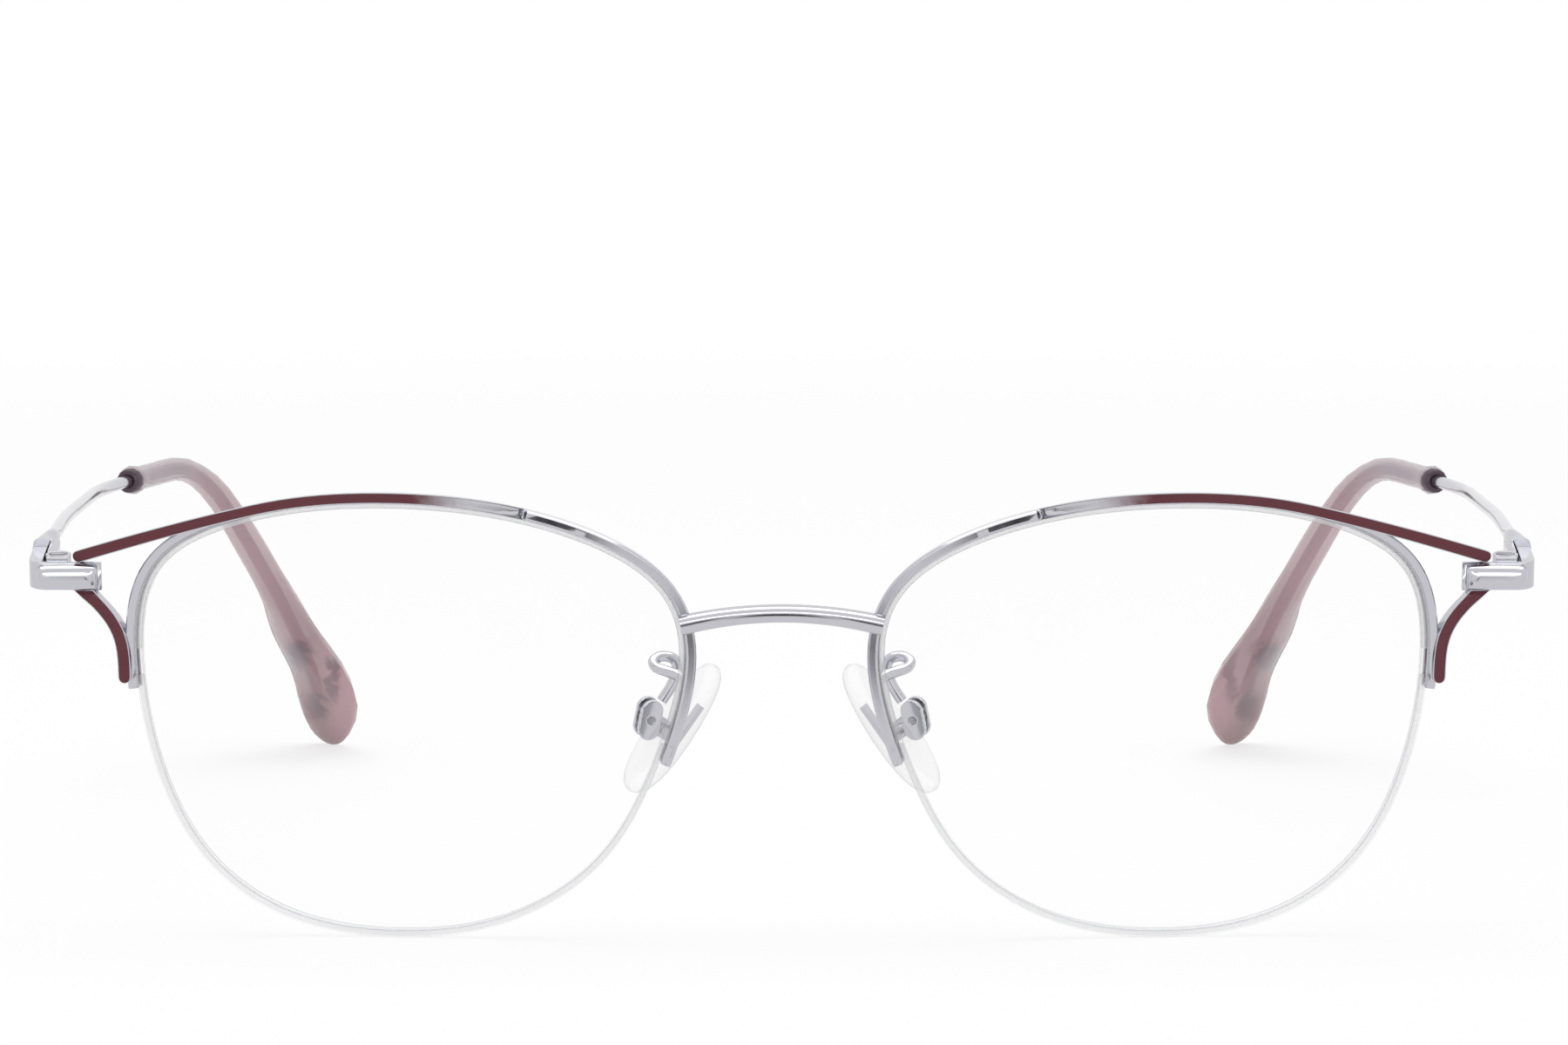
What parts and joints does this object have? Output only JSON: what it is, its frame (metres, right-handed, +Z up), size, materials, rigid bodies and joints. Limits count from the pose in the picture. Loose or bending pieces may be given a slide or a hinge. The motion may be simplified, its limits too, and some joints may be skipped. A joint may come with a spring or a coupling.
{
  "type": "eyeglasses",
  "caption": "Half-rim metal glasses with an enamelled brow line, nylon-cord lenses, adjustable nose pads and folding temples.",
  "frame": {"origin": "centre of the bounding box's base: the table that the lenses' lower edges and the ends of the temple tips stand on", "axes": "+X to the wearer's left, +Y back along the temples, the front faces -Y, +Z up"},
  "size_m": [0.142, 0.1367, 0.0431],
  "materials": {
    "chromed_metal": "polished",
    "screw_steel": "satin",
    "burgundy_enamel": "gloss",
    "lens": "clear polished",
    "clear_nylon": "clear",
    "clear_silicone": "clear soft",
    "mauve_acetate": "gloss translucent"
  },
  "bodies": {
    "front": {"bridge": "chromed_metal", "right_rim": "chromed_metal", "right_rim_liner": "clear_nylon", "right_lens": "lens", "right_nylon_cord": "clear_nylon", "right_brow_bar": "chromed_metal", "right_brow_enamel": "burgundy_enamel", "right_lug": "chromed_metal", "right_lug_enamel": "burgundy_enamel", "right_end_piece": "chromed_metal", "right_hinge_front": "chromed_metal", "right_hinge_screw": "screw_steel", "right_pad_arm": "chromed_metal", "right_pad_box": "chromed_metal", "right_pad_screw": "screw_steel", "left_rim": "chromed_metal", "left_rim_liner": "clear_nylon", "left_lens": "lens", "left_nylon_cord": "clear_nylon", "left_brow_bar": "chromed_metal", "left_brow_enamel": "burgundy_enamel", "left_lug": "chromed_metal", "left_lug_enamel": "burgundy_enamel", "left_end_piece": "chromed_metal", "left_hinge_front": "chromed_metal", "left_hinge_screw": "screw_steel", "left_pad_arm": "chromed_metal", "left_pad_box": "chromed_metal", "left_pad_screw": "screw_steel"},
    "right_temple": {"right_hinge_temple": "chromed_metal", "right_temple": "chromed_metal", "right_temple_tip": "mauve_acetate"},
    "left_temple": {"left_hinge_temple": "chromed_metal", "left_temple": "chromed_metal", "left_temple_tip": "mauve_acetate"},
    "right_pad": {"right_nose_pad": "clear_silicone", "right_pad_insert": "chromed_metal"},
    "left_pad": {"left_nose_pad": "clear_silicone", "left_pad_insert": "chromed_metal"}
  },
  "joints": [
    {"name": "right_temple_fold", "type": "hinge", "parent": "front", "child": "right_temple", "pos_m": [-0.0682, -0.05931, 0.03513], "axis": [0, 0.1392, -0.9903], "range_deg": [0, 80]},
    {"name": "left_temple_fold", "type": "hinge", "parent": "front", "child": "left_temple", "pos_m": [0.0682, -0.05931, 0.03513], "axis": [0, -0.1392, 0.9903], "range_deg": [0, 77]},
    {"name": "right_pad_rock", "type": "hinge", "parent": "front", "child": "right_pad", "pos_m": [-0.01265, -0.0593, 0.02074], "axis": [-0.309, 0.9418, 0.1324], "range_deg": [-8, 8]},
    {"name": "left_pad_rock", "type": "hinge", "parent": "front", "child": "left_pad", "pos_m": [0.01265, -0.0593, 0.02074], "axis": [0.309, 0.9418, 0.1324], "range_deg": [-8, 8]}
  ]
}
